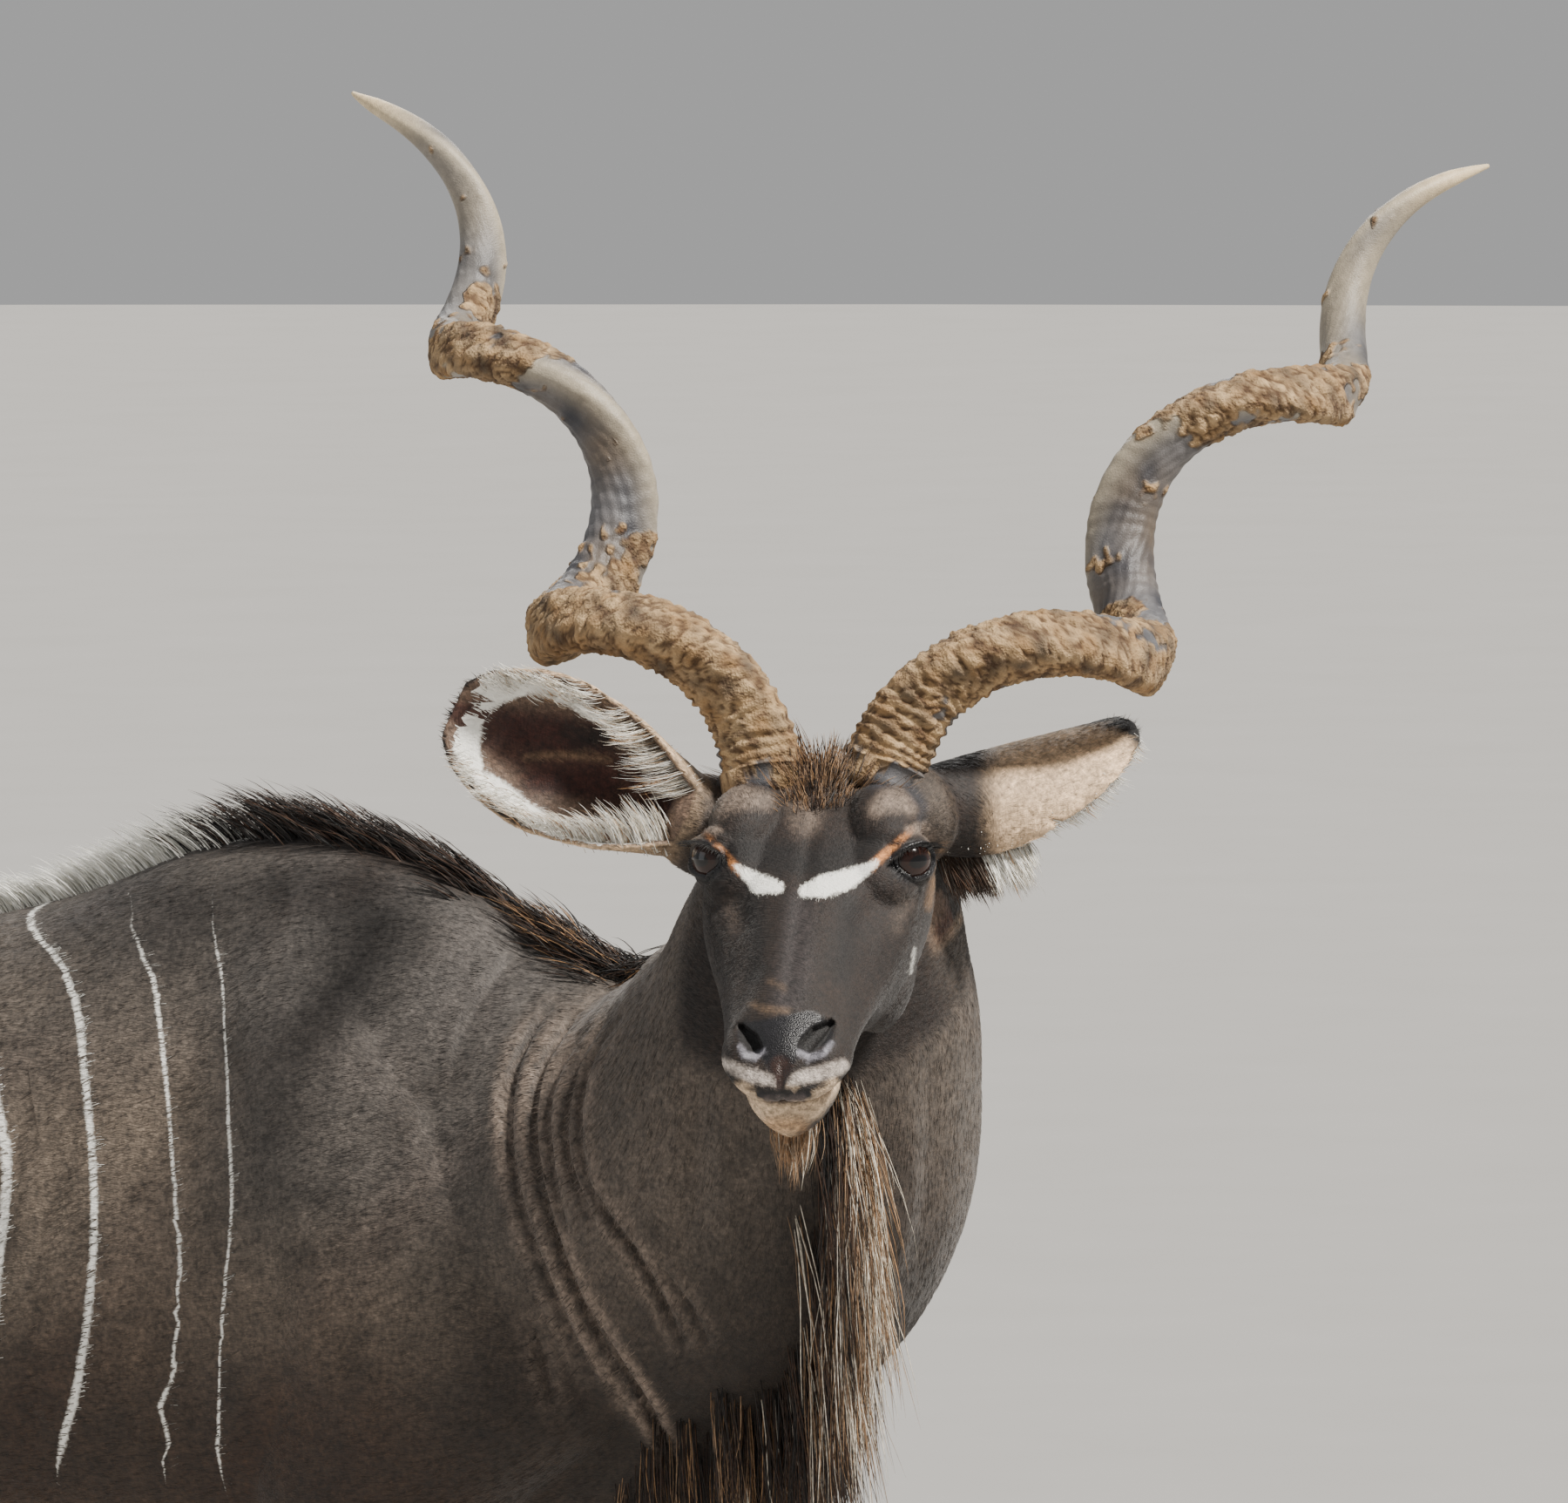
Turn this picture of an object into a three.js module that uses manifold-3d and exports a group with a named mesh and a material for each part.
// A greater kudu bull as a still, life-size museum model: he stands, one foot of each pair
// a little ahead of the other, and looks round to his right.
// Frame: +X is his left, -Y is forward, +Z is up, millimetres. The group is shifted at the end so that
// the middle of the whole model's footprint lies at the origin, with the hooves on Z = 0.
import * as THREE from "three";
import { mergeVertices } from "three/addons/utils/BufferGeometryUtils.js";
import Module from "manifold-3d";

const wasm = await Module();
wasm.setup();

// Driving dimensions
const JOIN_GAP = 0.3;
const HEAD_AT = [-288, -678.5, 1427];
const HEAD_TURN = 61.9;
const FACE_PITCH = 34;
const BODY_SIDES = 22;
const HEAD_SIDES = 24;
const LEG_SIDES = 14;
const HORN_SIDES = 10;
const HORN_STEPS = 40;
const EYE_RADIUS = 21.5;
const EYE_AT = { forward: -24, up: -20, out: 76 };
const HOOF_HEIGHT = 62;

// The coat's long hair, as lengths from the skin, and the dense core under it, as a share of them
const MANE_HEIGHT = 34;
const CREST_HEIGHT = 20;
const THROAT_MANE_DROP = 150;
const BEARD_DROP = 76;
const TUFT_DROP = 190;
const CORE_SHARE = 0.45;
const ROOT_SINK = 30;
const MANE_HALF = 22;
const THROAT_MANE_HALF = 18;
const HAIR_SEED = 7;

const rad = THREE.MathUtils.degToRad;
const vec = (x, y, z) => new THREE.Vector3(x, y, z);

// Solids from geometry and back

// The closed solid of a geometry, whose matching corners are merged and whose faces are turned out.
function solidOf(geometry) {
  const bare = geometry.index ? geometry.toNonIndexed() : geometry;
  const plain = new THREE.BufferGeometry();
  plain.setAttribute("position", bare.getAttribute("position"));
  const merged = mergeVertices(plain, 1e-4);
  const vertProperties = merged.attributes.position.array;
  const triVerts = new Uint32Array(merged.index.array);
  const made = new wasm.Manifold(new wasm.Mesh({ numProp: 3, vertProperties, triVerts }));
  if (made.volume() > 0) return made;
  const turned = triVerts.map((_, i) => triVerts[i - (i % 3) + ((3 - (i % 3)) % 3)]);
  return new wasm.Manifold(new wasm.Mesh({ numProp: 3, vertProperties, triVerts: turned }));
}

// The largest closed surface of a solid, as a geometry.
function geometryOf(solid) {
  const pieces = solid.decompose();
  pieces.sort((one, other) => other.volume() - one.volume());
  const mesh = pieces[0].getMesh();
  const geometry = new THREE.BufferGeometry();
  geometry.setAttribute("position", new THREE.BufferAttribute(new Float32Array(mesh.vertProperties), 3));
  geometry.setIndex(new THREE.BufferAttribute(new Uint32Array(mesh.triVerts), 1));
  return geometry;
}

const joined = (solids) => solids.reduce((sum, solid) => sum.add(solid));

// A closed skin over a list of rings, each with the same count of points, with a fan over each end.
function skinOver(rings) {
  const sides = rings[0].length;
  const middle = (ring) => ring.reduce((sum, point) => sum.add(point), vec(0, 0, 0)).divideScalar(sides);
  const points = rings.flat().concat([middle(rings[0]), middle(rings[rings.length - 1])]);
  const firstEnd = rings.length * sides;
  const index = [];
  for (let row = 0; row < rings.length - 1; row++) {
    for (let side = 0; side < sides; side++) {
      const a = row * sides + side;
      const b = row * sides + ((side + 1) % sides);
      index.push(a, b, b + sides, a, b + sides, a + sides);
    }
  }
  for (let side = 0; side < sides; side++) {
    const next = (side + 1) % sides;
    const last = (rings.length - 1) * sides;
    index.push(firstEnd, next, side, firstEnd + 1, last + side, last + next);
  }
  const geometry = new THREE.BufferGeometry();
  const numbers = points.flatMap((point) => [point.x, point.y, point.z]);
  geometry.setAttribute("position", new THREE.Float32BufferAttribute(numbers, 3));
  geometry.setIndex(index);
  return geometry;
}

const loft = (rings) => solidOf(skinOver(rings));

// Rows of numbers with smooth rows put in between, by a Catmull-Rom curve through each column.
function smoothRows(rows, steps) {
  const fine = [];
  for (let i = 0; i < rows.length - 1; i++) {
    const before = rows[Math.max(i - 1, 0)];
    const after = rows[Math.min(i + 2, rows.length - 1)];
    for (let step = 0; step < steps; step++) {
      const t = step / steps;
      fine.push(
        rows[i].map((b, k) => {
          const a = before[k];
          const c = rows[i + 1][k];
          const d = after[k];
          return b + 0.5 * t * (c - a + t * (2 * a - 5 * b + 4 * c - d + t * (3 * (b - c) + d - a)));
        }),
      );
    }
  }
  fine.push(rows[rows.length - 1]);
  return fine;
}

const signedPower = (value, power) => Math.sign(value) * Math.abs(value) ** power;

// An oval ring about a centre: half width along across, and its own height and fullness above and below.
function ovalRing({ centre, across, up, half, above, below, fullAbove = 2, fullBelow = 2, sides }) {
  const ring = [];
  for (let side = 0; side < sides; side++) {
    const angle = (2 * Math.PI * side) / sides;
    const full = Math.sin(angle) >= 0 ? fullAbove : fullBelow;
    const height = Math.sin(angle) >= 0 ? above : below;
    const point = centre.clone();
    point.addScaledVector(across, half * signedPower(Math.cos(angle), 2 / full));
    ring.push(point.addScaledVector(up, height * signedPower(Math.sin(angle), 2 / full)));
  }
  return ring;
}

// A prism over a convex outline in two axes of a frame, grown outwards by a margin on every face.
function region(outline, depth, frame, grow = 0) {
  const [low, high] = depth;
  const corners = outline.map(([a, b]) => new THREE.Vector2(a, b));
  const turn = Math.sign(THREE.ShapeUtils.area(corners));
  const grown = corners.map((corner, i) => {
    const before = corners[(i + corners.length - 1) % corners.length];
    const after = corners[(i + 1) % corners.length];
    const into = corner.clone().sub(before).normalize();
    const out = after.clone().sub(corner).normalize();
    const normalIn = new THREE.Vector2(into.y, -into.x).multiplyScalar(turn);
    const normalOut = new THREE.Vector2(out.y, -out.x).multiplyScalar(turn);
    const bisector = normalIn.clone().add(normalOut).normalize();
    return corner.clone().addScaledVector(bisector, grow / bisector.dot(normalOut));
  });
  const shape = new THREE.Shape(grown);
  const settings = { depth: high - low + 2 * grow, bevelEnabled: false };
  const prism = new THREE.ExtrudeGeometry(shape, settings).translate(0, 0, low - grow);
  return solidOf(prism.applyMatrix4(frame));
}

// Frames for outlines: y and z with depth across, forward and up in the head with depth across it, and
// x and z with depth along the body.
const sideways = new THREE.Matrix4().set(0, 0, 1, 0, 1, 0, 0, 0, 0, 1, 0, 0, 0, 0, 0, 1);
const acrossHead = new THREE.Matrix4().set(0, 0, 1, 0, -1, 0, 0, 0, 0, 1, 0, 0, 0, 0, 0, 1);
const upright = new THREE.Matrix4().set(1, 0, 0, 0, 0, 0, 1, 0, 0, 1, 0, 0, 0, 0, 0, 1);

// The head's own frame

// In the head's frame +X is his left, -Y runs down the face to the nose and +Z is out of the forehead.
const headFrame = new THREE.Matrix4()
  .makeTranslation(...HEAD_AT)
  .multiply(new THREE.Matrix4().makeRotationZ(rad(-HEAD_TURN)))
  .multiply(new THREE.Matrix4().makeRotationX(rad(FACE_PITCH)));
const onHead = (forward, up, left) => vec(left, -forward, up).applyMatrix4(headFrame);
const alongHead = (forward, up, left) => vec(left, -forward, up).transformDirection(headFrame);

// An egg in the head's frame: its middle, half sizes, turn about the face's normal and nod.
function headEgg(at, size, { turn = 0, nod = 0, detail = 2 } = {}) {
  const ball = new THREE.IcosahedronGeometry(1, detail);
  ball.scale(size.left, size.forward, size.up);
  ball.rotateX(rad(nod)).rotateZ(rad(turn));
  ball.translate(at.left, -at.forward, at.up);
  return solidOf(ball.applyMatrix4(headFrame));
}

// Torso

// Each row: y, top, bottom, half width, height of the widest place, fullness of the upper half.
const TORSO_ROWS = [
  [-500, 990, 880, 30, 935, 2],
  [-470, 1060, 838, 75, 950, 2],
  [-420, 1120, 810, 112, 980, 2],
  [-350, 1190, 800, 140, 1010, 2],
  [-270, 1278, 792, 160, 1040, 2],
  [-180, 1348, 784, 180, 1050, 1.9],
  [-80, 1389, 770, 192, 1045, 1.75],
  [10, 1402, 764, 198, 1038, 1.7],
  [130, 1389, 762, 207, 1028, 1.75],
  [250, 1346, 768, 218, 1020, 1.9],
  [400, 1312, 778, 227, 1014, 2],
  [550, 1300, 798, 225, 1016, 2],
  [700, 1303, 835, 210, 1030, 2],
  [820, 1310, 880, 192, 1054, 1.95],
  [920, 1300, 920, 170, 1080, 1.95],
  [1010, 1265, 960, 138, 1098, 2],
  [1068, 1212, 1005, 92, 1108, 2],
  [1092, 1155, 1060, 38, 1108, 2],
];

function torsoFlesh(grow = 0) {
  const rings = smoothRows(TORSO_ROWS, 2).map(([y, top, bottom, half, middle, fullAbove]) =>
    ovalRing({
      centre: vec(0, y, middle),
      across: vec(1, 0, 0),
      up: vec(0, 0, 1),
      half: half + grow,
      above: top - middle + grow,
      below: middle - bottom + grow,
      fullAbove,
      fullBelow: 2.1,
      sides: BODY_SIDES,
    }),
  );
  return loft(rings);
}

// Neck

// Each row: x, y, z of the neck's core, direction of the nape as x, y, z, half width, to nape, to throat.
const NECK_ROWS = [
  [0, -100, 1110, 0, 0, 1, 155, 240, 225],
  [-6, -245, 1085, 0, 0.05, 1, 172, 226, 212],
  [-24, -375, 1098, 0.08, 0.3, 0.95, 182, 208, 206],
  [-54, -478, 1160, 0.25, 0.65, 0.72, 176, 200, 190],
  [-92, -545, 1250, 0.4, 0.75, 0.55, 150, 183, 140],
  [-118, -578, 1345, 0.55, 0.75, 0.35, 123, 140, 110],
  [-128, -600, 1430, 0.7, 0.6, 0.3, 96, 108, 86],
];

// The neck's stations with their directions: along, across and towards the nape.
function neckStations(steps) {
  const rows = smoothRows(NECK_ROWS, steps);
  return rows.map((row, i) => {
    const centre = vec(row[0], row[1], row[2]);
    const before = rows[Math.max(i - 1, 0)];
    const after = rows[Math.min(i + 1, rows.length - 1)];
    const along = vec(after[0] - before[0], after[1] - before[1], after[2] - before[2]).normalize();
    const nape = vec(row[3], row[4], row[5]);
    nape.addScaledVector(along, -nape.dot(along)).normalize();
    const across = vec(0, 0, 0).crossVectors(along, nape).normalize();
    return { centre, along, across, nape, half: row[6], above: row[7], below: row[8] };
  });
}

function neckFlesh() {
  const shape = { fullAbove: 1.85, fullBelow: 1.8, sides: BODY_SIDES };
  const rings = neckStations(2).map(({ centre, across, nape, half, above, below }) =>
    ovalRing({ centre, across, up: nape, half, above, below, ...shape }),
  );
  return loft(rings);
}

// Legs

// Each row: x, y, z of the bone line, half thickness, how far the flesh reaches ahead and behind.
const FORELEG_ROWS = [
  [40, 0, 1360, 20, 50, 60],
  [72, -40, 1270, 74, 115, 125],
  [98, -105, 1160, 90, 165, 160],
  [112, -172, 1050, 94, 192, 185],
  [119, -190, 950, 86, 204, 170],
  [123, -135, 870, 70, 148, 122],
  [121, -95, 800, 55, 90, 80],
  [119, -80, 730, 46, 56, 56],
  [115, -90, 630, 39, 43, 43],
  [112, -97, 530, 33, 36, 36],
  [110, -100, 470, 37, 40, 38],
  [109, -95, 415, 30, 31, 32],
  [108, -92, 320, 24, 27, 27],
  [107, -90, 215, 24, 26, 28],
  [107, -90, 170, 30, 31, 35],
  [107, -102, 115, 25, 26, 26],
  [107, -118, 82, 32, 32, 32],
  [107, -126, HOOF_HEIGHT, 36, 40, 34],
];
const HIND_LEG_ROWS = [
  [40, 860, 1260, 20, 70, 70],
  [84, 855, 1200, 78, 140, 130],
  [101, 845, 1120, 90, 175, 160],
  [113, 828, 1030, 94, 188, 168],
  [125, 800, 945, 90, 168, 156],
  [126, 782, 870, 78, 138, 124],
  [123, 802, 790, 62, 104, 94],
  [119, 845, 710, 47, 72, 66],
  [116, 892, 640, 38, 50, 54],
  [113, 938, 570, 34, 40, 52],
  [112, 955, 500, 32, 38, 40],
  [111, 950, 430, 25, 30, 31],
  [110, 940, 320, 22, 27, 27],
  [110, 932, 215, 23, 27, 28],
  [110, 930, 172, 29, 32, 35],
  [110, 917, 116, 25, 26, 26],
  [110, 902, 82, 32, 32, 32],
  [110, 894, HOOF_HEIGHT, 36, 40, 34],
];

// Where each foot stands: its side (1 is his left), and how far its step is behind a square stance.
const LEGS = [
  { name: "leg_front_left", rows: FORELEG_ROWS, side: 1, step: -45, kneeAt: 800 },
  { name: "leg_front_right", rows: FORELEG_ROWS, side: -1, step: 25, kneeAt: 800 },
  { name: "leg_hind_left", rows: HIND_LEG_ROWS, side: 1, step: 35, kneeAt: 830 },
  { name: "leg_hind_right", rows: HIND_LEG_ROWS, side: -1, step: -55, kneeAt: 830 },
];

// A leg's rows on its own side, swung from the elbow or stifle down so that the foot makes its step.
const steppedRows = ({ rows, side, step, kneeAt }) =>
  rows.map(([x, y, z, ...sizes]) => [side * x, y + step * Math.max(0, 1 - z / kneeAt), z, ...sizes]);

function legFlesh(leg, grow = 0) {
  const rings = steppedRows(leg).map(([x, y, z, half, ahead, behind]) =>
    ovalRing({
      centre: vec(x, y, z),
      across: vec(1, 0, 0),
      up: vec(0, -1, 0),
      half: half + grow,
      above: ahead + grow,
      below: behind + grow,
      sides: LEG_SIDES,
    }),
  );
  return loft(rings);
}

// One of a foot's two toes: a pointed hoof with a flat sole, a sloping front wall and a flat top.
const HOOF_ROWS = [
  // height, reach ahead, reach behind, half width
  [0, 78, 42, 19],
  [14, 76, 43, 19],
  [40, 58, 38, 18],
  [HOOF_HEIGHT - JOIN_GAP, 36, 31, 16],
];
const HOOF_SPREAD = 19.5;

function hoof(leg, out) {
  const foot = steppedRows(leg)[leg.rows.length - 1];
  const rings = HOOF_ROWS.map(([z, ahead, behind, half]) =>
    ovalRing({
      centre: vec(foot[0] + out * HOOF_SPREAD, foot[1], z),
      across: vec(1, 0, 0),
      up: vec(0, -1, 0),
      half,
      above: ahead,
      below: behind,
      fullAbove: 1.5,
      fullBelow: 2.4,
      sides: 12,
    }),
  );
  return loft(rings);
}

// Tail

// Each row: y, z, half width, half depth of the tail's fleshy part and its flat brush of short hair.
const TAIL_ROWS = [
  [1040, 1196, 34, 30],
  [1098, 1190, 31, 26],
  [1142, 1150, 27, 21],
  [1162, 1080, 24, 18],
  [1166, 980, 23, 16],
  [1162, 870, 21, 14],
  [1158, 790, 16, 12],
];

function tailFlesh() {
  const rows = smoothRows(TAIL_ROWS, 2);
  const rings = rows.map(([y, z, half, depth], i) => {
    const before = rows[Math.max(i - 1, 0)];
    const after = rows[Math.min(i + 1, rows.length - 1)];
    const along = vec(0, after[0] - before[0], after[1] - before[1]).normalize();
    const up = vec(0, -along.z, along.y);
    const size = { half, above: depth, below: depth, sides: 10 };
    return ovalRing({ centre: vec(0, y, z), across: vec(1, 0, 0), up, ...size });
  });
  return loft(rings);
}

// Head

// Each row: how far down the face, height of the top, half width and drop of the ridge beside it, half
// width and height of the cheek, half width and height of the jaw, height of the underside.
const HEAD_ROWS = [
  [-188, -48, 38, 15, 60, -95, 44, -140, -156],
  [-162, -24, 45, 14, 76, -86, 57, -152, -174],
  [-125, -5, 52, 12, 85, -76, 63, -162, -186],
  [-88, 4, 56, 12, 88, -64, 66, -162, -188],
  [-50, 4, 60, 12, 89, -52, 67, -154, -184],
  [-15, 1, 60, 11, 88, -46, 67, -144, -176],
  [20, -1, 52, 11, 85, -50, 65, -132, -164],
  [60, -4, 41, 11, 75, -56, 59, -116, -148],
  [100, -7, 34, 10, 66, -58, 50, -96, -118],
  [140, -10, 31, 9, 58, -54, 43, -78, -90],
  [170, -14, 33, 9, 54, -50, 44, -70, -74],
  [195, -20, 35, 9, 52, -48, 42, -66, -69],
  [214, -28, 33, 8, 48, -48, 36, -63, -66],
  [229, -40, 25, 5, 34, -51, 24, -61, -63],
  [236, -50, 12, 3, 17, -54, 12, -59, -60],
];
// Each row of the lower jaw: how far down the face, top, half width, middle height, underside.
const JAW_ROWS = [
  [30, -80, 46, -118, -154],
  [70, -62, 47, -108, -142],
  [110, -62, 43, -98, -132],
  [150, -63, 40, -91, -127],
  [180, -64, 39, -90, -128],
  [200, -65, 34, -89, -126],
  [213, -67, 25, -88, -116],
  [221, -73, 14, -87, -98],
];

// A closed smooth ring in the head's cross-section through the eight corners of one row.
function headRing([forward, top, ridge, drop, cheek, cheekUp, jaw, jawUp, bottom], shrink) {
  const half = [
    [0, top],
    [ridge, top - drop],
    [cheek, cheekUp],
    [jaw, jawUp],
    [0, bottom],
  ];
  const mirrored = half.slice(1, -1).reverse().map(([left, up]) => [-left, up]);
  const corners = half.concat(mirrored).map(([left, up]) => vec(left, up, 0));
  const curve = new THREE.CatmullRomCurve3(corners, true, "centripetal");
  const middle = vec(0, (top + bottom) / 2, 0);
  return curve.getPoints(HEAD_SIDES).slice(0, HEAD_SIDES).map((point) => {
    const inward = middle.clone().sub(point).normalize().multiplyScalar(shrink);
    return onHead(forward, point.y + inward.y, point.x + inward.x);
  });
}

const headLoft = (rows, shrink) => loft(smoothRows(rows, 2).map((row) => headRing(row, shrink)));

function jawLoft(shrink) {
  const rings = smoothRows(JAW_ROWS, 2).map(([forward, top, half, middle, bottom]) =>
    ovalRing({
      centre: onHead(forward, middle, 0),
      across: alongHead(0, 0, 1),
      up: alongHead(0, 1, 0),
      half: half - shrink,
      above: top - middle - shrink,
      below: middle - bottom - shrink,
      fullAbove: 2.6,
      fullBelow: 1.5,
      sides: 16,
    }),
  );
  return loft(rings);
}

const BROW = { at: { forward: -56, up: -10, out: 56 }, size: { left: 30, forward: 42, up: 24 } };
const ORBIT = { at: { forward: -22, up: -26, out: 56 }, size: { left: 34, forward: 52, up: 28 } };
const NOSTRIL = { at: { forward: 208, up: -27, out: 26 }, size: { left: 7, forward: 19, up: 8 }, turn: 38 };
const NOSTRIL_WING = { at: { forward: 198, up: -42, out: 31 }, size: { left: 18, forward: 25, up: 16 } };
const CHEEK = { at: { forward: -5, up: -108, out: 50 }, size: { left: 31, forward: 70, up: 50 } };

const onSide = ({ forward, up, out }, side) => ({ forward, up, left: side * out });

// Mouth: a thin wedge that follows the lips back to the corner, cut only as deep as the lips are thick.
const MOUTH = { corner: [146, -66], front: [240, -64], height: 3.4, lipDepth: 9, reach: 80 };

function mouthCut() {
  const [backAt, backUp] = MOUTH.corner;
  const [frontAt, frontUp] = MOUTH.front;
  const outline = [
    [backAt, backUp],
    [frontAt, frontUp - MOUTH.height / 2],
    [frontAt, frontUp + MOUTH.height / 2],
  ];
  const wedge = region(outline, [-MOUTH.reach, MOUTH.reach], headFrame.clone().multiply(acrossHead));
  const inside = headLoft(HEAD_ROWS, MOUTH.lipDepth).add(jawLoft(MOUTH.lipDepth));
  return wedge.subtract(inside);
}

// Eyes and lids

// The eye looks out, level and a little ahead; its lids are a rim round the ball with an almond opening
// whose inner corner is the lower one.
const EYE_LOOK = { out: 38, roll: 12 };
const LID_THICKNESS = 4.2;
const LID_OPENING = { long: 22.5, high: 14, points: 10 };

function eyeFrame(side) {
  return headFrame
    .clone()
    .multiply(new THREE.Matrix4().makeTranslation(side * EYE_AT.out, -EYE_AT.forward, EYE_AT.up))
    .multiply(new THREE.Matrix4().makeRotationX(rad(-FACE_PITCH)))
    .multiply(new THREE.Matrix4().makeRotationZ(rad(side * EYE_LOOK.out)))
    .multiply(new THREE.Matrix4().makeRotationY(rad(-side * EYE_LOOK.roll)));
}

function eyeBall(side, radius) {
  return solidOf(new THREE.IcosahedronGeometry(radius, 2).applyMatrix4(eyeFrame(side)));
}

// The almond prism between the lids, from the middle of the ball outwards.
function lidOpening(side) {
  const outline = [];
  for (let i = 0; i < LID_OPENING.points; i++) {
    const angle = (2 * Math.PI * i) / LID_OPENING.points;
    const high = LID_OPENING.high * signedPower(Math.sin(angle), 1.25);
    outline.push([LID_OPENING.long * Math.cos(angle), high]);
  }
  const shape = new THREE.Shape(outline.map(([a, b]) => new THREE.Vector2(a, b)));
  const prism = new THREE.ExtrudeGeometry(shape, { depth: 3 * EYE_RADIUS, bevelEnabled: false });
  return solidOf(prism.rotateX(rad(90)).applyMatrix4(eyeFrame(side)));
}

// Ears

// Each ear is a cupped leaf: a strip that is nearly rolled up at its root and opens towards the tip.
const EAR_LENGTH = 218;
const EAR_WALL = 5;
const EAR_STRIPS = 7;
// Each row: place along the ear, half width of the strip, half angle of its roll in degrees.
const EAR_ROWS = [
  [0, 86, 150],
  [0.12, 91, 130],
  [0.3, 88, 95],
  [0.48, 82, 70],
  [0.62, 78, 56],
  [0.78, 66, 46],
  [0.92, 48, 40],
  [1, 25, 34],
];
// Root in the head's frame, the way the ear points, and the way its cup opens, as forward, up, left,
// then how far the cup has turned about its own line by the tip, in degrees.
const EARS = {
  left: {
    root: [-124, -15, 82],
    points: [-0.727, -0.267, 0.633],
    opens: [0.141, -0.957, -0.242],
    twist: -34,
  },
  right: { root: [-135, -68, -108], points: [-0.1, 0.43, -0.88], opens: [0.8, 0.5, 0.27], twist: 0 },
};

function earAxes(side) {
  const { root, points, opens } = EARS[side];
  const along = alongHead(...points);
  const cup = alongHead(...opens);
  cup.addScaledVector(along, -cup.dot(along)).normalize();
  return { root: onHead(...root), along, cup, across: vec(0, 0, 0).crossVectors(along, cup) };
}

function earLeaf(side) {
  const { root, along, cup, across } = earAxes(side);
  const rings = smoothRows(EAR_ROWS, 2).map(([place, half, roll]) => {
    const bend = rad(roll);
    const radius = half / bend;
    const middle = root.clone().addScaledVector(along, EAR_LENGTH * place);
    const twist = rad(EARS[side].twist * place);
    const flat = across.clone().applyAxisAngle(along, twist);
    const deep = cup.clone().applyAxisAngle(along, twist);
    const strip = (wall) => {
      const line = [];
      for (let i = 0; i <= EAR_STRIPS; i++) {
        const turn = bend * ((2 * i) / EAR_STRIPS - 1);
        const point = middle.clone().addScaledVector(flat, (radius - wall) * Math.sin(turn));
        line.push(point.addScaledVector(deep, radius - (radius - wall) * Math.cos(turn)));
      }
      return line;
    };
    return strip(0).concat(strip(EAR_WALL).reverse());
  });
  return loft(rings);
}

// The muscle that carries the ear, a stout peg from inside the head to the floor of the cup.
const EAR_BUTT_ROWS = [
  // place along the ear, half width, offset towards the cup
  [-0.22, 34, 30],
  [-0.06, 41, 33],
  [0.06, 37, 34],
  [0.12, 22, 34],
];

function earButt(side) {
  const { root, along, cup, across } = earAxes(side);
  const rings = EAR_BUTT_ROWS.map(([place, half, offset]) => {
    const centre = root.clone().addScaledVector(along, EAR_LENGTH * place).addScaledVector(cup, offset);
    return ovalRing({ centre, across, up: cup, half, above: half, below: half, sides: 12 });
  });
  return loft(rings);
}

// The ear is parted from the head a little way up its butt.
const EAR_CUT = 0.07;
const EAR_ROOT_REACH = 62;
const EAR_MIDDLE = 33;

function earRegion(side, reach, grow = 0) {
  const { root, along, cup, across } = earAxes(side);
  const centre = root.clone().addScaledVector(cup, EAR_MIDDLE);
  const frame = new THREE.Matrix4().makeBasis(across, cup, along).setPosition(centre);
  const square = [
    [-reach, -reach],
    [reach, -reach],
    [reach, reach],
    [-reach, reach],
  ];
  return region(square, [EAR_LENGTH * EAR_CUT, 1.3 * EAR_LENGTH], frame, grow);
}

// The ear past its cut, and the room that the head leaves for its root.
const earSolid = (side) => earLeaf(side).add(earButt(side)).intersect(earRegion(side, EAR_LENGTH));
const earRoom = (side) => earRegion(side, EAR_ROOT_REACH, JOIN_GAP);

// Horns

// Both horns are corkscrews about a straight axis, from a wide coil at the brow to a narrow one at the tip.
const HORN_LENGTH = 862;
const COIL_RADIUS = { base: 61.8, tip: 22.8 };
const COIL_PACE = 1.074;
const HORN_SINK = 24;
const HORNS = {
  left: {
    side: 1,
    back: 0.049,
    splay: 0.418,
    start: -1.685,
    turns: 2.396,
    bend: [19.3, 1.7],
    base: [-126.3, 51.1],
  },
  right: {
    side: -1,
    back: 0.11,
    splay: 0.354,
    start: -1.849,
    turns: 2.49,
    bend: [40.8, 19.7],
    base: [-119.9, 49.7],
  },
};
const HORN_BASE_UP = -8;
// Each row: place along the horn, half thickness, height of the keel that winds round it.
const HORN_ROWS = [
  [0, 34, 4],
  [0.08, 28.5, 10],
  [0.2, 25.5, 12],
  [0.4, 24, 11],
  [0.6, 22.5, 9],
  [0.75, 19.5, 6],
  [0.88, 14, 2.5],
  [0.96, 8, 0],
  [1, 3, 0],
];
const KEEL_ANGLE = 50;
const KEEL_WIDTH = 36;

// The value at one place of a table whose first column is the place.
function tableAt(rows, place, column) {
  const next = Math.max(1, rows.findIndex((row) => row[0] >= place));
  const [low, high] = [rows[next - 1], rows[next]];
  const share = THREE.MathUtils.clamp((place - low[0]) / (high[0] - low[0]), 0, 1);
  return low[column] + share * (high[column] - low[column]);
}

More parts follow.
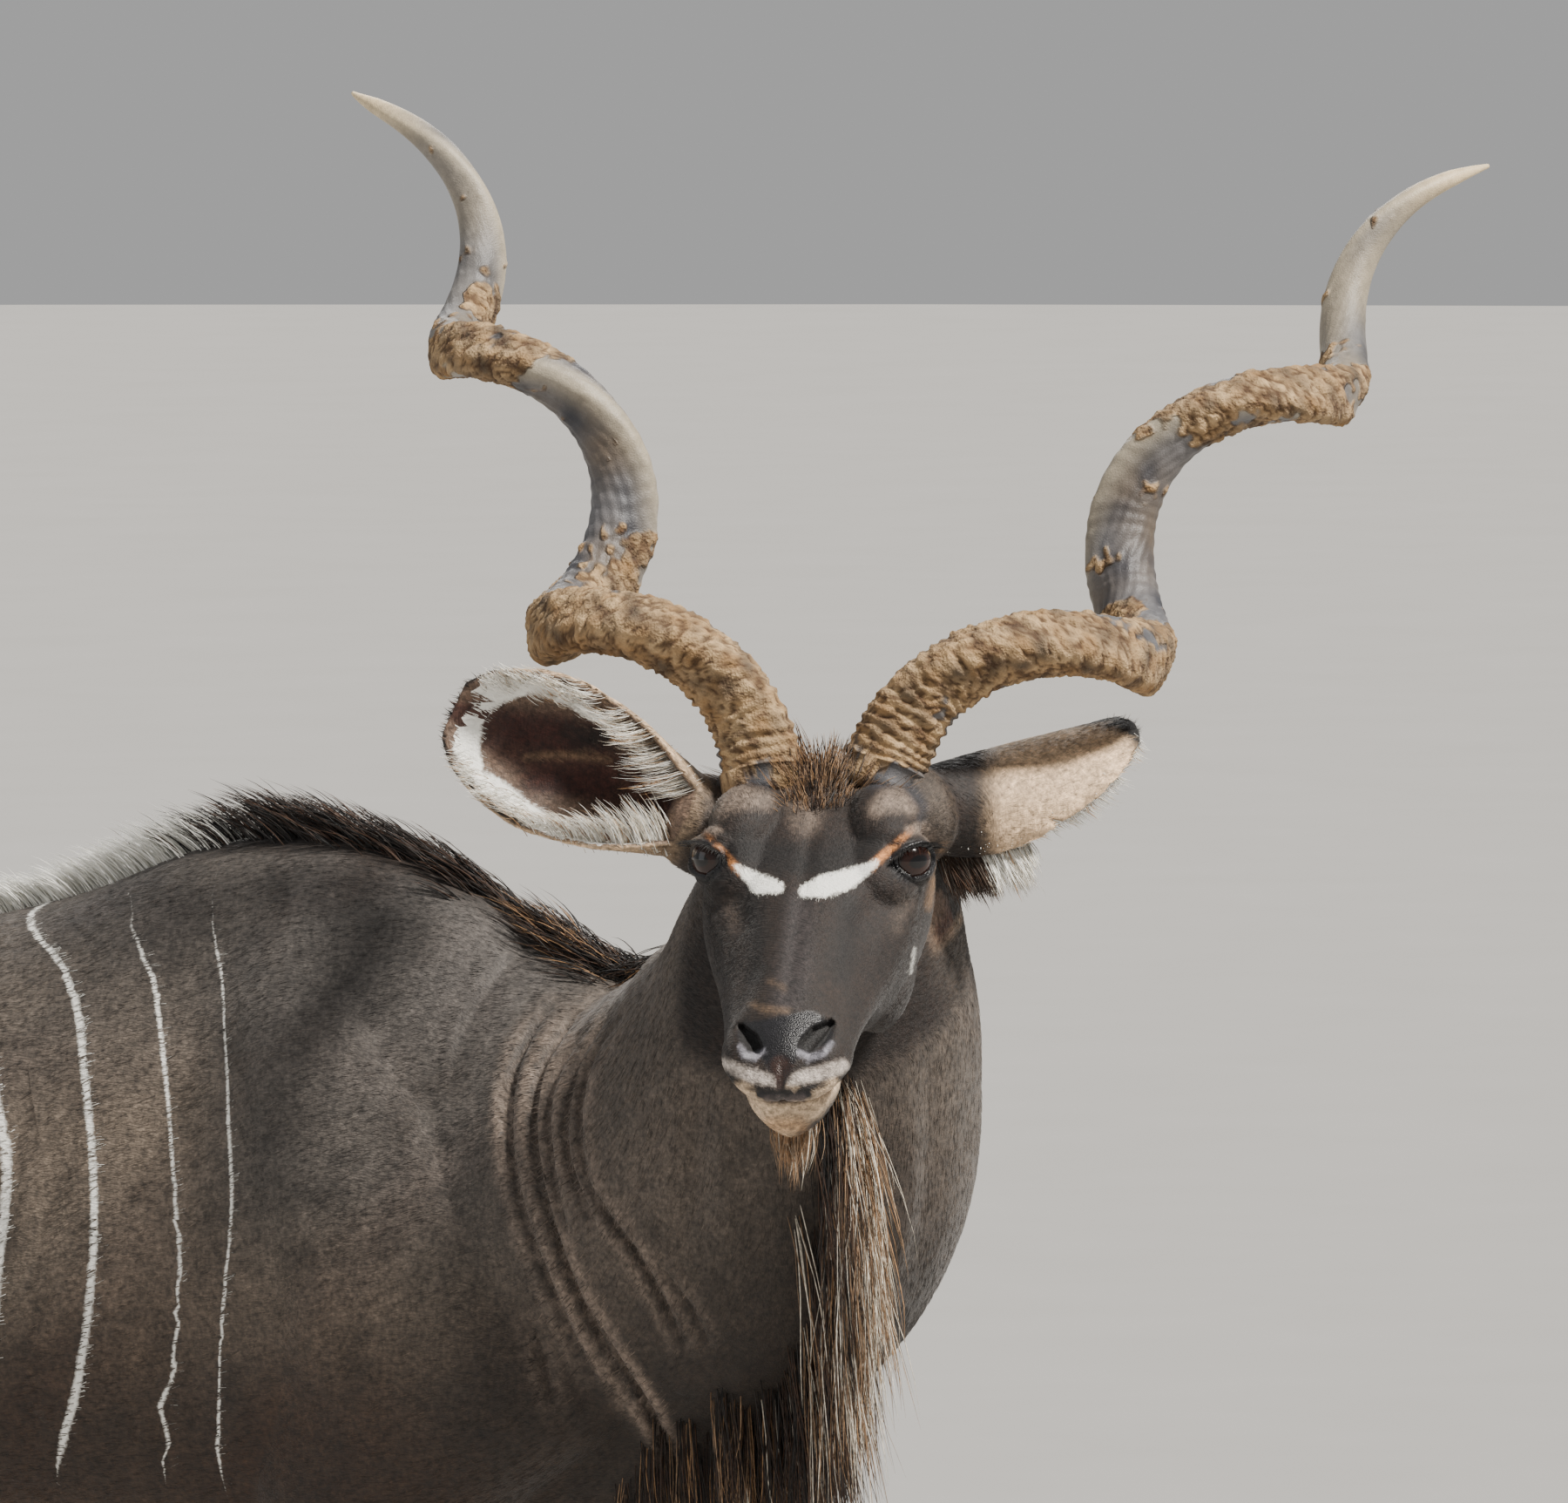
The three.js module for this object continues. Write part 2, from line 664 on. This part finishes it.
// The horn's middle line in the head's frame, with its directions along, away from the axis and back.
function hornLine({ side, back, splay, start, turns, bend, base }) {
  const level = Math.cos(splay);
  const axis = alongHead(-Math.cos(back) * level, Math.sin(back) * level, side * Math.sin(splay));
  const out = alongHead(0, 0, side);
  out.addScaledVector(axis, -out.dot(axis)).normalize();
  const front = vec(0, 0, 0).crossVectors(axis, out);
  if (front.dot(alongHead(0, 1, 0)) < 0) front.negate();
  const root = onHead(base[0], HORN_BASE_UP, side * base[1]);
  const at = (place) => {
    const angle = start + 2 * Math.PI * turns * place ** COIL_PACE;
    const radius = THREE.MathUtils.lerp(COIL_RADIUS.base, COIL_RADIUS.tip, place);
    const outward = radius * Math.sin(angle) - COIL_RADIUS.base * Math.sin(start) + bend[0] * place ** 2;
    const frontward = radius * Math.cos(angle) - COIL_RADIUS.base * Math.cos(start) + bend[1] * place ** 2;
    const point = root.clone().addScaledVector(axis, HORN_LENGTH * place);
    return point.addScaledVector(out, outward).addScaledVector(front, frontward);
  };
  const directions = (place) => {
    const small = 1e-3;
    const along = at(Math.min(1, place + small)).sub(at(Math.max(0, place - small))).normalize();
    const angle = start + 2 * Math.PI * turns * place ** COIL_PACE;
    const away = out.clone().multiplyScalar(Math.sin(angle)).addScaledVector(front, Math.cos(angle));
    away.addScaledVector(along, -away.dot(along)).normalize();
    const toBase = vec(0, 0, 0).crossVectors(along, away);
    if (toBase.dot(axis) > 0) toBase.negate();
    return { along, away, toBase };
  };
  return { at, directions };
}

function horn(side, grow) {
  const { at, directions } = hornLine(HORNS[side]);
  const ring = (place, sink) => {
    const { along, away, toBase } = directions(place);
    const centre = at(place).addScaledVector(along, -sink);
    const points = [];
    for (let i = 0; i < HORN_SIDES; i++) {
      const angle = (360 * i) / HORN_SIDES + KEEL_ANGLE;
      const fromKeel = THREE.MathUtils.euclideanModulo(angle - KEEL_ANGLE + 180, 360) - 180;
      const keel = tableAt(HORN_ROWS, place, 2) * Math.exp(-((fromKeel / KEEL_WIDTH) ** 2));
      const reach = tableAt(HORN_ROWS, place, 1) + keel + grow;
      const point = centre.clone().addScaledVector(away, reach * Math.cos(rad(angle)));
      points.push(point.addScaledVector(toBase, reach * Math.sin(rad(angle))));
    }
    return points;
  };
  const rings = [ring(0, HORN_SINK + grow)];
  for (let step = 0; step <= HORN_STEPS; step++) rings.push(ring(step / HORN_STEPS, 0));
  return loft(rings);
}

// Long hair: a low core with locks over it, which reach out to the tips

// The crest along the withers and back: y, height of the skin line there, height of hair, half width.
const CREST_ROWS = [
  [-140, 1362, MANE_HEIGHT, MANE_HALF],
  [-60, 1388, MANE_HEIGHT, MANE_HALF],
  [40, 1396, MANE_HEIGHT, MANE_HALF],
  [140, 1380, 28, 20],
  [300, 1330, CREST_HEIGHT, 18],
  [520, 1298, CREST_HEIGHT * 0.8, 16],
  [760, 1300, CREST_HEIGHT * 0.6, 14],
  [930, 1290, 8, 12],
];

function crestCore() {
  const rings = smoothRows(CREST_ROWS, 2).map(([y, skin, hair, half]) =>
    ovalRing({
      centre: vec(0, y, skin),
      across: vec(1, 0, 0),
      up: vec(0, 0, 1),
      half,
      above: hair * CORE_SHARE,
      below: ROOT_SINK,
      fullAbove: 1.3,
      sides: 6,
    }),
  );
  return loft(rings);
}

function napeCore() {
  const rings = neckStations(2).map(({ centre, across, nape, above }) =>
    ovalRing({
      centre: centre.clone().addScaledVector(nape, above),
      across,
      up: nape,
      half: MANE_HALF,
      above: MANE_HEIGHT * CORE_SHARE,
      below: ROOT_SINK,
      fullAbove: 1.3,
      sides: 6,
    }),
  );
  return loft(rings);
}

// The throat mane lies on the middle part of the neck, towards the side he looks to.
const THROAT_START = 3;
const THROAT_END = 8;
const THROAT_SHIFT = 24;

function throatCore() {
  const rings = neckStations(2).slice(THROAT_START, THROAT_END).map(({ centre, across, nape, below }) =>
    ovalRing({
      centre: centre.clone().addScaledVector(nape, -below).addScaledVector(across, THROAT_SHIFT),
      across,
      up: nape,
      half: THROAT_MANE_HALF,
      above: ROOT_SINK,
      below: THROAT_MANE_DROP * CORE_SHARE,
      fullBelow: 1.3,
      sides: 6,
    }),
  );
  return loft(rings);
}

// A repeatable stream of numbers from 0 to 1, by a small mixing generator.
function randomStream(seed) {
  let state = seed >>> 0;
  return () => {
    state = (state + 0x6d2b79f5) >>> 0;
    let mixed = Math.imul(state ^ (state >>> 15), 1 | state);
    mixed = (mixed + Math.imul(mixed ^ (mixed >>> 7), 61 | mixed)) ^ mixed;
    return ((mixed ^ (mixed >>> 14)) >>> 0) / 2 ** 32;
  };
}

// Each row of a lock: place along it, and its width there as a share of its widest.
const LOCK_ROWS = [
  [-0.3, 0.7],
  [0.22, 1],
  [0.64, 0.74],
  [1, 0.1],
];

// A flat, tapered lock that leaves its root along one direction and ends along another.
function lock({ root, out, lie, flat, length, width, thick }, grow = 0) {
  const rings = LOCK_ROWS.map(([place, share]) => {
    const bent = place * Math.abs(place);
    const centre = root.clone().addScaledVector(out, length * (place - bent / 2));
    centre.addScaledVector(lie, (length * bent) / 2);
    const along = out.clone().lerp(lie, Math.max(0, place)).normalize();
    const side = flat.clone().addScaledVector(along, -flat.dot(along)).normalize();
    const thin = vec(0, 0, 0).crossVectors(along, side);
    const half = (width * share) / 2 + grow;
    const deep = (thick * share) / 2 + grow;
    return [
      centre.clone().addScaledVector(side, half),
      centre.clone().addScaledVector(thin, deep),
      centre.clone().addScaledVector(side, -half),
      centre.clone().addScaledVector(thin, -deep),
    ];
  });
  return loft(rings);
}

// The station at one part of the way along a list of stations, mixed from the two beside it.
function stationAt(stations, part) {
  const place = part * (stations.length - 1);
  const low = Math.min(Math.floor(place), stations.length - 2);
  const [one, other] = [stations[low], stations[low + 1]];
  const mixed = {};
  const share = place - low;
  for (const key of ["centre", "along", "across", "nape"]) {
    mixed[key] = one[key].clone().lerp(other[key], share);
  }
  for (const key of ["above", "below"]) mixed[key] = THREE.MathUtils.lerp(one[key], other[key], share);
  return mixed;
}

const NAPE_LOCKS = { count: 12, from: 0.3, to: 0.93, width: 27, thick: 14, reach: 2.1, sway: 10 };
const BACK_LOCKS = { count: 17, from: -84, to: 870, width: 26, thick: 20, reach: 2.4, sway: 9 };
const SHORTEST_BACK_LOCK = 58;
const THROAT_LOCKS = { count: 14, from: 0.08, to: 0.62, width: 34, thick: 12, sway: 10 };
const BEARD_LOCKS = { count: 5, from: 165, to: 202, width: 22, thick: 12, sway: 8 };
const TUFT_LOCKS = { count: 7, width: 44, thick: 11, radius: 12, rise: 70 };

const wobble = (random, size) => size * (2 * random() - 1);

// Locks of the nape lean back along the neck.
function napeLocks(grow = 0) {
  const random = randomStream(HAIR_SEED);
  const stations = neckStations(4);
  const { count, from, to, width, thick, reach, sway } = NAPE_LOCKS;
  return Array.from({ length: count }, (_, i) => {
    const place = from + ((to - from) * i) / (count - 1);
    const { centre, along, across, nape, above } = stationAt(stations, place);
    const root = centre.addScaledVector(nape, above).addScaledVector(across, wobble(random, sway));
    const side = wobble(random, 0.25);
    const out = nape.clone().multiplyScalar(0.6).addScaledVector(along, -0.8);
    out.addScaledVector(across, side).normalize();
    const lie = nape.clone().multiplyScalar(0.1).addScaledVector(along, -1).normalize();
    const length = MANE_HEIGHT * reach * (1 + wobble(random, 0.15));
    return lock({ root, out, lie, flat: nape, length, width, thick }, grow);
  });
}

// Locks of the withers and back lean towards the tail, and grow shorter along it.
function backLocks() {
  const random = randomStream(HAIR_SEED + 1);
  const { count, from, to, width, thick, reach, sway } = BACK_LOCKS;
  return Array.from({ length: count }, (_, i) => {
    const y = from + ((to - from) * i) / (count - 1);
    const root = vec(wobble(random, sway), y, tableAt(CREST_ROWS, y, 1));
    const out = vec(wobble(random, 0.2), 0.84, 0.54).normalize();
    const lie = vec(0, 1, 0.05).normalize();
    const full = Math.max(SHORTEST_BACK_LOCK, tableAt(CREST_ROWS, y, 2) * reach);
    const length = full * (1 + wobble(random, 0.12));
    return lock({ root, out, lie, flat: vec(0, 0, 1), length, width, thick });
  });
}

// Locks of the throat mane start out from the neck and hang down.
function throatLocks(grow = 0) {
  const random = randomStream(HAIR_SEED + 2);
  const stations = neckStations(4).slice(2 * THROAT_START);
  const { count, from, to, width, thick, sway } = THROAT_LOCKS;
  return Array.from({ length: count }, (_, i) => {
    const place = from + ((to - from) * i) / (count - 1);
    const { centre, along, across, nape, below } = stationAt(stations, place);
    const root = centre.addScaledVector(nape, -below);
    root.addScaledVector(across, THROAT_SHIFT + wobble(random, sway));
    const out = nape.clone().multiplyScalar(-0.5).addScaledVector(across, wobble(random, 0.15));
    out.addScaledVector(vec(0, 0, -1), 0.8).normalize();
    const lie = vec(wobble(random, 0.15), -0.1, -1).normalize();
    const length = THROAT_MANE_DROP * (1.05 + wobble(random, 0.2));
    return lock({ root, out, lie, flat: along, length, width, thick }, grow);
  });
}

// Locks of the beard hang from the chin.
function beardLocks() {
  const random = randomStream(HAIR_SEED + 3);
  const { count, from, to, width, thick, sway } = BEARD_LOCKS;
  return Array.from({ length: count }, (_, i) => {
    const forward = from + ((to - from) * i) / (count - 1);
    const root = onHead(forward, -104, wobble(random, sway));
    const out = vec(0, 0, -1).addScaledVector(alongHead(0, 0, 1), wobble(random, 0.3)).normalize();
    const lie = vec(0, 0, -1).addScaledVector(alongHead(-1, 0, 0), 0.2).normalize();
    const length = BEARD_DROP * (0.9 + wobble(random, 0.15));
    return lock({ root, out, lie, flat: alongHead(0, 0, 1), length, width, thick });
  });
}

// Locks of the tail's tuft stand in a ring round its end and hang down.
function tuftLocks() {
  const random = randomStream(HAIR_SEED + 4);
  const { count, width, thick, radius, rise } = TUFT_LOCKS;
  const [y, z] = TAIL_ROWS[TAIL_ROWS.length - 1];
  return Array.from({ length: count }, (_, i) => {
    const turn = (2 * Math.PI * i) / count;
    const away = vec(Math.cos(turn), Math.sin(turn), 0);
    const root = vec(0, y, z + rise * (i % 2)).addScaledVector(away, radius);
    const out = away.clone().multiplyScalar(0.32).add(vec(0, 0, -1)).normalize();
    const lie = away.clone().multiplyScalar(-0.08).add(vec(0, 0, -1)).normalize();
    const length = TUFT_DROP * (0.95 + wobble(random, 0.12));
    return lock({ root, out, lie, flat: vec(-away.y, away.x, 0), length, width, thick });
  });
}

// The regions that part the body into its nodes

// Forward and up in the head's frame: the cut runs behind the ears and the angle of the jaw.
const HEAD_OUTLINE = [
  [-158, 90],
  [-158, -100],
  [-72, -196],
  [60, -196],
  [290, -150],
  [290, 90],
];
// y and z: the cut runs from before the withers to the top of the breast.
const NECK_OUTLINE = [
  [-100, 1475],
  [-601, 600],
  [-1100, 600],
  [-1100, 1700],
  [-100, 1700],
];
const TAIL_OUTLINE = [
  [1098, 1300],
  [1098, 500],
  [1300, 500],
  [1300, 1300],
];
// x and z on his left side: the cut slopes up and out, from the groin or armpit to the side.
const LEG_OUTLINES = {
  front: { outline: [[24, -20], [24, 700], [215, 850], [330, 850], [330, -20]], span: [-330, 60] },
  hind: { outline: [[24, -20], [24, 760], [235, 960], [330, 960], [330, -20]], span: [668, 1090] },
};

// The upper head, out to the lids and the roots of the ears, is wider than the jaw.
const FACE_OUTLINE = [
  [-158, 90],
  [-158, -100],
  [-147, -112],
  [290, -112],
  [290, 90],
];
const JAW_REACH = 97;
const FACE_REACH = 106;

function headRegion(grow) {
  const frame = headFrame.clone().multiply(acrossHead);
  const jaw = region(HEAD_OUTLINE, [-JAW_REACH, JAW_REACH], frame, grow);
  return jaw.add(region(FACE_OUTLINE, [-FACE_REACH, FACE_REACH], frame, grow));
}

const neckRegion = (grow) => region(NECK_OUTLINE, [-400, 400], sideways, grow);
const tailRegion = (grow) => region(TAIL_OUTLINE, [-80, 80], sideways, grow);

function legRegion(name, side, grow) {
  const { outline, span } = LEG_OUTLINES[name.includes("front") ? "front" : "hind"];
  const mirrored = outline.map(([x, z]) => [side * x, z]);
  return region(mirrored, span, upright, grow);
}

// Assembly

const bull = new THREE.Group();
const COLOURS = {
  coat: { color: 0x6d6258, roughness: 0.85, metalness: 0 },
  face: { color: 0x4a4038, roughness: 0.8, metalness: 0 },
  horn: { color: 0x8b7a5e, roughness: 0.6, metalness: 0 },
  eye: { color: 0x120c08, roughness: 0.08, metalness: 0 },
  hoof: { color: 0x24201d, roughness: 0.45, metalness: 0 },
};

function addNode(name, solid, colour) {
  const mesh = new THREE.Mesh(geometryOf(solid), new THREE.MeshStandardMaterial(COLOURS[colour]));
  mesh.name = name;
  bull.add(mesh);
}

const SIDES = { left: 1, right: -1 };
const LOCK_CLEAR = 1;

function headFlesh() {
  const parts = [headLoft(HEAD_ROWS, 0), jawLoft(0)];
  for (const side of Object.values(SIDES)) {
    parts.push(headEgg(onSide(BROW.at, side), BROW.size, { detail: 1 }));
    parts.push(headEgg(onSide(ORBIT.at, side), ORBIT.size, { detail: 1 }));
    parts.push(headEgg(onSide(CHEEK.at, side), CHEEK.size, { detail: 1 }));
    parts.push(headEgg(onSide(NOSTRIL_WING.at, side), NOSTRIL_WING.size, { detail: 1 }));
    parts.push(eyeBall(side, EYE_RADIUS + LID_THICKNESS));
  }
  for (const name of Object.keys(SIDES)) parts.push(earButt(name));
  return joined(parts);
}

function headHollows() {
  const parts = [mouthCut()];
  for (const [name, side] of Object.entries(SIDES)) {
    parts.push(headEgg(onSide(NOSTRIL.at, side), NOSTRIL.size, { turn: side * NOSTRIL.turn, detail: 1 }));
    parts.push(lidOpening(side));
    parts.push(eyeBall(side, EYE_RADIUS + JOIN_GAP));
    parts.push(horn(name, JOIN_GAP), earRoom(name));
  }
  return joined(parts);
}

// The whole body, then one piece after another taken out of it.
const hair = [crestCore(), napeCore(), throatCore(), ...tuftLocks(), ...backLocks(), ...beardLocks()];
const legs = LEGS.map((leg) => legFlesh(leg));
let rest = joined([torsoFlesh(), neckFlesh(), tailFlesh(), headFlesh(), ...hair, ...legs]);
rest = rest.subtract(headHollows());

function takeOut(regionOf) {
  const piece = rest.intersect(regionOf(0));
  rest = rest.subtract(regionOf(JOIN_GAP));
  return piece;
}

for (const [name, side] of Object.entries(SIDES)) {
  addNode(`ear_${name}`, earSolid(name), "coat");
  addNode(`horn_${name}`, horn(name, 0), "horn");
  addNode(`eye_${name}`, eyeBall(side, EYE_RADIUS), "eye");
}
addNode("head", takeOut(headRegion), "face");
for (const leg of LEGS) {
  addNode(leg.name, takeOut((grow) => legRegion(leg.name, leg.side, grow)), "coat");
  for (const [toe, out] of Object.entries({ outer: leg.side, inner: -leg.side })) {
    addNode(`${leg.name.replace("leg", "hoof")}_${toe}`, hoof(leg, out), "hoof");
  }
}
addNode("tail", takeOut(tailRegion), "coat");
// The neck's locks hang past its cut, clear of the trunk, the legs, the head and the ears.
const neck = takeOut(neckRegion);
const trunk = joined([torsoFlesh(LOCK_CLEAR), ...LEGS.map((leg) => legFlesh(leg, LOCK_CLEAR))]);
const beyondNeck = trunk.subtract(neckRegion(0)).add(headRegion(JOIN_GAP));
const keptClear = joined([beyondNeck, ...Object.keys(SIDES).map((name) => horn(name, LOCK_CLEAR))]);
const neckLocks = joined([...napeLocks(), ...throatLocks()]).subtract(keptClear);
const grownLocks = joined([...napeLocks(LOCK_CLEAR), ...throatLocks(LOCK_CLEAR)]).subtract(neckRegion(0));
addNode("neck", neck.add(neckLocks), "coat");
addNode("torso", rest.subtract(grownLocks), "coat");

const footprint = new THREE.Box3().setFromObject(bull);
const middle = footprint.getCenter(vec(0, 0, 0));
bull.position.set(-middle.x, -middle.y, -footprint.min.z);

export default bull;
